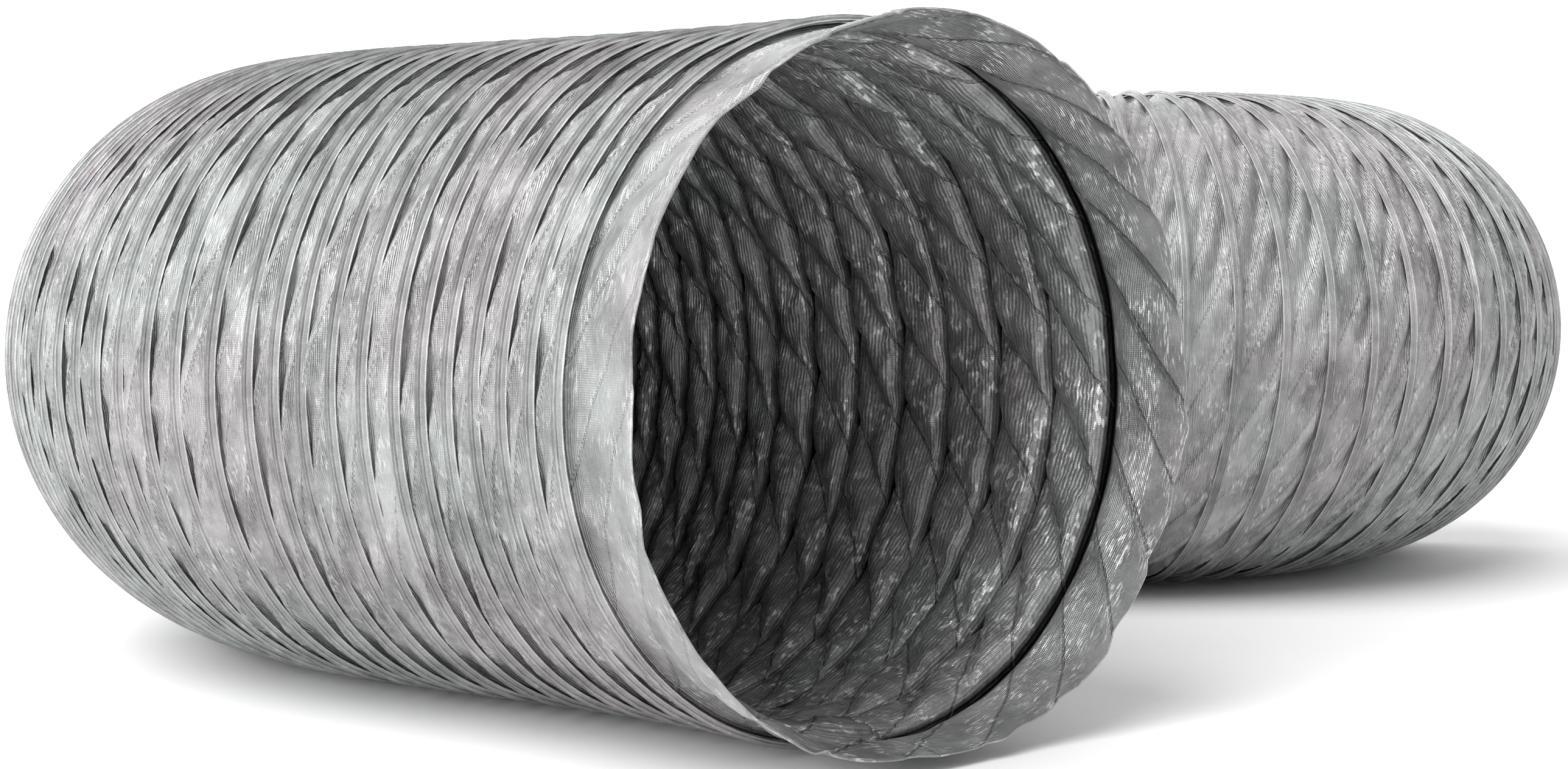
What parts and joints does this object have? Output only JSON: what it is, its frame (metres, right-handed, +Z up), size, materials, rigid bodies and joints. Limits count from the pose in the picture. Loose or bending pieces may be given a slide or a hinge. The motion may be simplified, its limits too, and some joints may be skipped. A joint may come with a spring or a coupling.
{
  "type": "flexible air duct",
  "caption": "Flexible round air duct of coated grey fabric over a spring wire helix with a welded cover strip, lying in a loose S with its mouth facing forward.",
  "frame": {"origin": "on the floor, at the middle of the duct footprint", "axes": "+X along the longest side of the footprint, from the left bend to the tail; +Z up; the mouth faces towards -Y"},
  "size_m": [0.9216, 0.8222, 0.3],
  "materials": {
    "skin": "grey PVC-coated woven fabric, semi-gloss, creased",
    "cuff": "the same coated fabric, one layer, raw edge",
    "cover_strip": "narrow welded coated strip, worn lighter along its crest",
    "wire": "drawn spring steel wire"
  },
  "bodies": {
    "mouth_end": {"skin_mouth": "skin", "wire_mouth": "wire", "cover_strip_mouth": "cover_strip", "mouth_cuff": "cuff"},
    "front_run": {"skin_front_run": "skin", "wire_front_run": "wire", "cover_strip_front_run": "cover_strip", "skin_mouth_lift_flex": "skin", "wire_mouth_lift_flex": "wire", "cover_strip_mouth_lift_flex": "cover_strip"},
    "left_bend_start": {"skin_left_bend_in": "skin", "wire_left_bend_in": "wire", "cover_strip_left_bend_in": "cover_strip", "skin_front_stretch_flex": "skin", "wire_front_stretch_flex": "wire", "cover_strip_front_stretch_flex": "cover_strip"},
    "left_bend_middle": {"skin_left_bend_mid": "skin", "wire_left_bend_mid": "wire", "cover_strip_left_bend_mid": "cover_strip", "skin_left_bend_a_flex": "skin", "wire_left_bend_a_flex": "wire", "cover_strip_left_bend_a_flex": "cover_strip"},
    "left_bend_end": {"skin_left_bend_out": "skin", "wire_left_bend_out": "wire", "cover_strip_left_bend_out": "cover_strip", "skin_left_bend_b_flex": "skin", "wire_left_bend_b_flex": "wire", "cover_strip_left_bend_b_flex": "cover_strip"},
    "back_run": {"skin_back_run": "skin", "wire_back_run": "wire", "cover_strip_back_run": "cover_strip", "skin_left_bend_c_flex": "skin", "wire_left_bend_c_flex": "wire", "cover_strip_left_bend_c_flex": "cover_strip", "skin_back_stretch_flex": "skin", "wire_back_stretch_flex": "wire", "cover_strip_back_stretch_flex": "cover_strip"},
    "right_bend_start": {"skin_right_bend_in": "skin", "wire_right_bend_in": "wire", "cover_strip_right_bend_in": "cover_strip", "skin_right_bend_a_flex": "skin", "wire_right_bend_a_flex": "wire", "cover_strip_right_bend_a_flex": "cover_strip"},
    "right_bend_middle": {"skin_right_bend_mid": "skin", "wire_right_bend_mid": "wire", "cover_strip_right_bend_mid": "cover_strip", "skin_right_bend_b_flex": "skin", "wire_right_bend_b_flex": "wire", "cover_strip_right_bend_b_flex": "cover_strip"},
    "tail_end": {"skin_tail": "skin", "wire_tail": "wire", "cover_strip_tail": "cover_strip", "tail_cuff": "cuff"}
  },
  "joints": [
    {"name": "mouth_lift", "type": "hinge", "parent": "front_run", "child": "mouth_end", "pos_m": [-0.08636, -0.22149, 0.15], "axis": [-0.6383, -0.7698, 0], "range_deg": [0, 18], "deforming": ["skin_mouth_lift_flex", "wire_mouth_lift_flex", "cover_strip_mouth_lift_flex"]},
    {"name": "front_stretch", "type": "slide", "parent": "left_bend_start", "child": "front_run", "axis": [0.8397, -0.543, 0], "range_m": [-0.035, 0.06], "deforming": ["skin_front_stretch_flex", "wire_front_stretch_flex", "cover_strip_front_stretch_flex"]},
    {"name": "left_bend_a", "type": "hinge", "parent": "left_bend_middle", "child": "left_bend_start", "pos_m": [-0.26894, -0.08315, 0.15], "axis": [0, 0, 1], "range_deg": [-36, 0], "deforming": ["skin_left_bend_a_flex", "wire_left_bend_a_flex", "cover_strip_left_bend_a_flex"]},
    {"name": "left_bend_b", "type": "hinge", "parent": "left_bend_end", "child": "left_bend_middle", "pos_m": [-0.30961, 0.05714, 0.15], "axis": [0, 0, 1], "range_deg": [-36, 0], "deforming": ["skin_left_bend_b_flex", "wire_left_bend_b_flex", "cover_strip_left_bend_b_flex"]},
    {"name": "left_bend_c", "type": "hinge", "parent": "back_run", "child": "left_bend_end", "pos_m": [-0.22961, 0.19016, 0.15], "axis": [0, 0, 1], "range_deg": [-36, 0], "deforming": ["skin_left_bend_c_flex", "wire_left_bend_c_flex", "cover_strip_left_bend_c_flex"]},
    {"name": "back_stretch", "type": "slide", "parent": "back_run", "child": "right_bend_start", "axis": [0.9833, -0.1822, 0], "range_m": [-0.035, 0.06], "deforming": ["skin_back_stretch_flex", "wire_back_stretch_flex", "cover_strip_back_stretch_flex"]},
    {"name": "right_bend_a", "type": "hinge", "parent": "right_bend_start", "child": "right_bend_middle", "pos_m": [0.11072, 0.19002, 0.15], "axis": [0, 0, 1], "range_deg": [-36, 0], "deforming": ["skin_right_bend_a_flex", "wire_right_bend_a_flex", "cover_strip_right_bend_a_flex"]},
    {"name": "right_bend_b", "type": "hinge", "parent": "right_bend_middle", "child": "tail_end", "pos_m": [0.24144, 0.23156, 0.15], "axis": [0, 0, 1], "range_deg": [-36, 0], "deforming": ["skin_right_bend_b_flex", "wire_right_bend_b_flex", "cover_strip_right_bend_b_flex"]}
  ]
}
